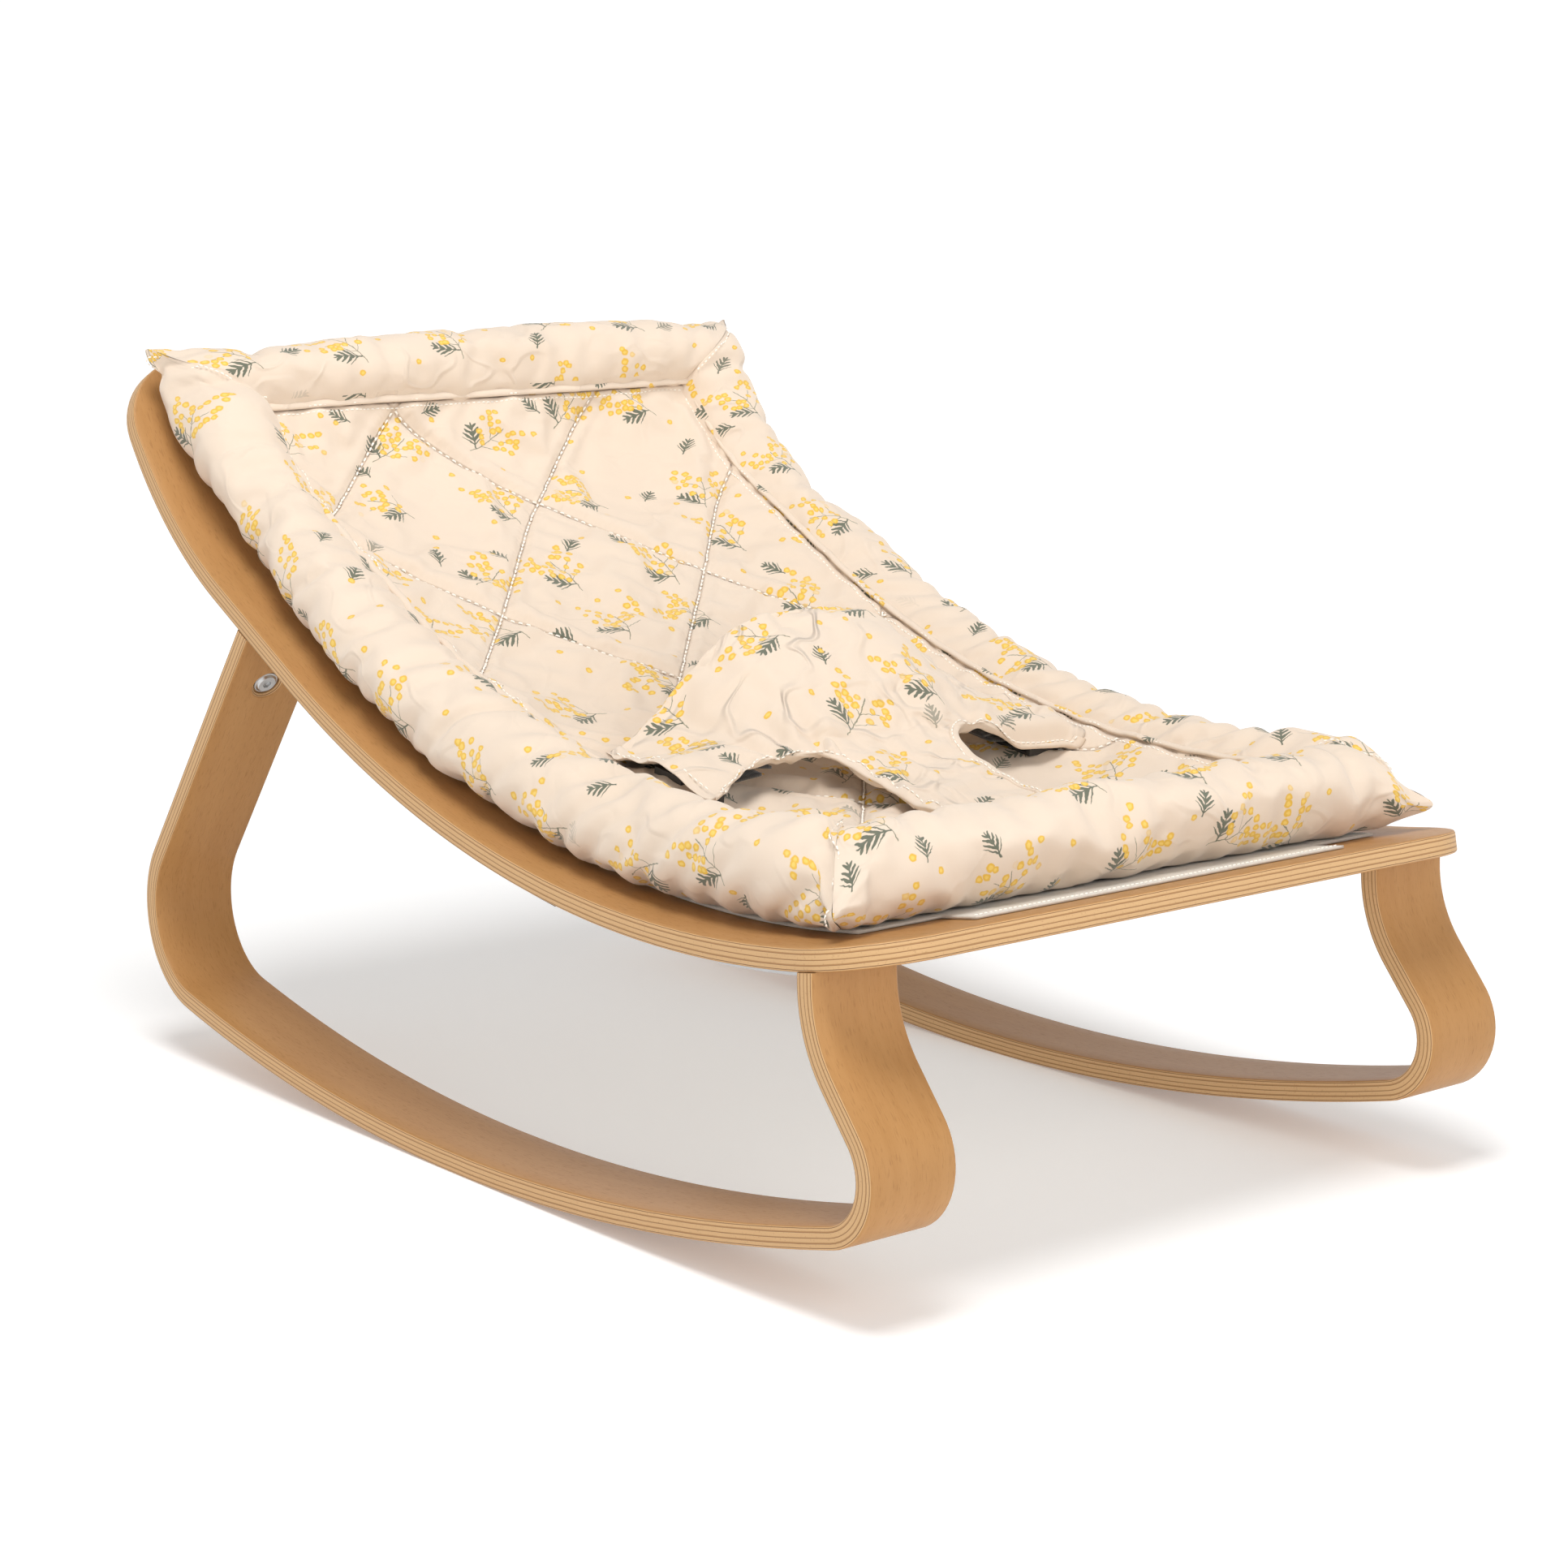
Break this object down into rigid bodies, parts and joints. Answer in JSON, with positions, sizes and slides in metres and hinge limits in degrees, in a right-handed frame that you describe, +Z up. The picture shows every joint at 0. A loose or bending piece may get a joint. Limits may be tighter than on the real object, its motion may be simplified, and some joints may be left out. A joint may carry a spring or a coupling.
{
  "type": "baby rocker",
  "caption": "Bent-plywood baby rocker: curved seat ring on rocker loops, with a fabric sling, a quilted cushion with a bolster rim and a T-shaped lap harness that folds up.",
  "frame": {"origin": "on the floor, midway between the outermost points left to right and foot end to head end", "axes": "+X to the occupant's left-hand side when lying in the seat, that is to the right when looked at from the foot end; +Y from the foot end to the head end; +Z up"},
  "size_m": [0.42, 0.661, 0.4114],
  "materials": {
    "plywood": "satin lacquered beech plywood, plies showing at the edges",
    "bracket_steel": "zinc-plated",
    "fastener_steel": "zinc-plated",
    "insert_brass": "plain",
    "sling_fabric": "pale plain weave",
    "hook_tape": "hook tape",
    "printed_cotton": "cream cotton printed with leafy sprigs and yellow blossoms",
    "black_webbing": "ribbed polypropylene webbing",
    "buckle_plastic": "moulded black",
    "button_plastic": "moulded red"
  },
  "bodies": {
    "rocker": {"seat_frame": "plywood", "rocker_left": "plywood", "rocker_right": "plywood", "front_bracket_left": "bracket_steel", "front_bracket_right": "bracket_steel", "rear_bracket_left": "bracket_steel", "rear_bracket_right": "bracket_steel", "rear_leg_bolts": "fastener_steel", "rear_leg_nuts": "fastener_steel", "rear_leg_washers": "fastener_steel", "threaded_inserts": "insert_brass", "front_leg_bolts": "fastener_steel", "bracket_screws": "fastener_steel", "sling_sheet": "sling_fabric", "sling_foot_flap": "sling_fabric", "sling_head_flap": "sling_fabric", "sling_side_flap_left": "sling_fabric", "sling_side_flap_right": "sling_fabric", "hook_tape_left": "hook_tape", "hook_tape_right": "hook_tape", "hook_tape_foot": "hook_tape", "hook_tape_head": "hook_tape", "quilted_panel": "printed_cotton", "foot_bolster": "printed_cotton", "head_bolster": "printed_cotton", "side_bolster_left": "printed_cotton", "side_bolster_right": "printed_cotton", "seat_strap_left": "black_webbing", "seat_strap_right": "black_webbing", "strap_screws": "fastener_steel", "buckle_socket_left": "buckle_plastic", "buckle_socket_right": "buckle_plastic"},
    "harness": {"harness_panel": "printed_cotton", "wing_strap_left": "black_webbing", "wing_strap_right": "black_webbing", "buckle_plug_left": "buckle_plastic", "buckle_plug_right": "buckle_plastic"},
    "button_left": {"buckle_button_left": "button_plastic"},
    "button_right": {"buckle_button_right": "button_plastic"}
  },
  "joints": [
    {"name": "harness_fold", "type": "hinge", "parent": "rocker", "child": "harness", "pos_m": [0, -0.21508, 0.19041], "axis": [1, 0, 0], "range_deg": [0, 120]},
    {"name": "button_left_press", "type": "slide", "parent": "rocker", "child": "button_left", "axis": [0, 0.15, -0.9887], "range_m": [0, 0.002], "stiffness_N_per_m": 300},
    {"name": "button_right_press", "type": "slide", "parent": "rocker", "child": "button_right", "axis": [0, 0.15, -0.9887], "range_m": [0, 0.002], "stiffness_N_per_m": 300}
  ]
}
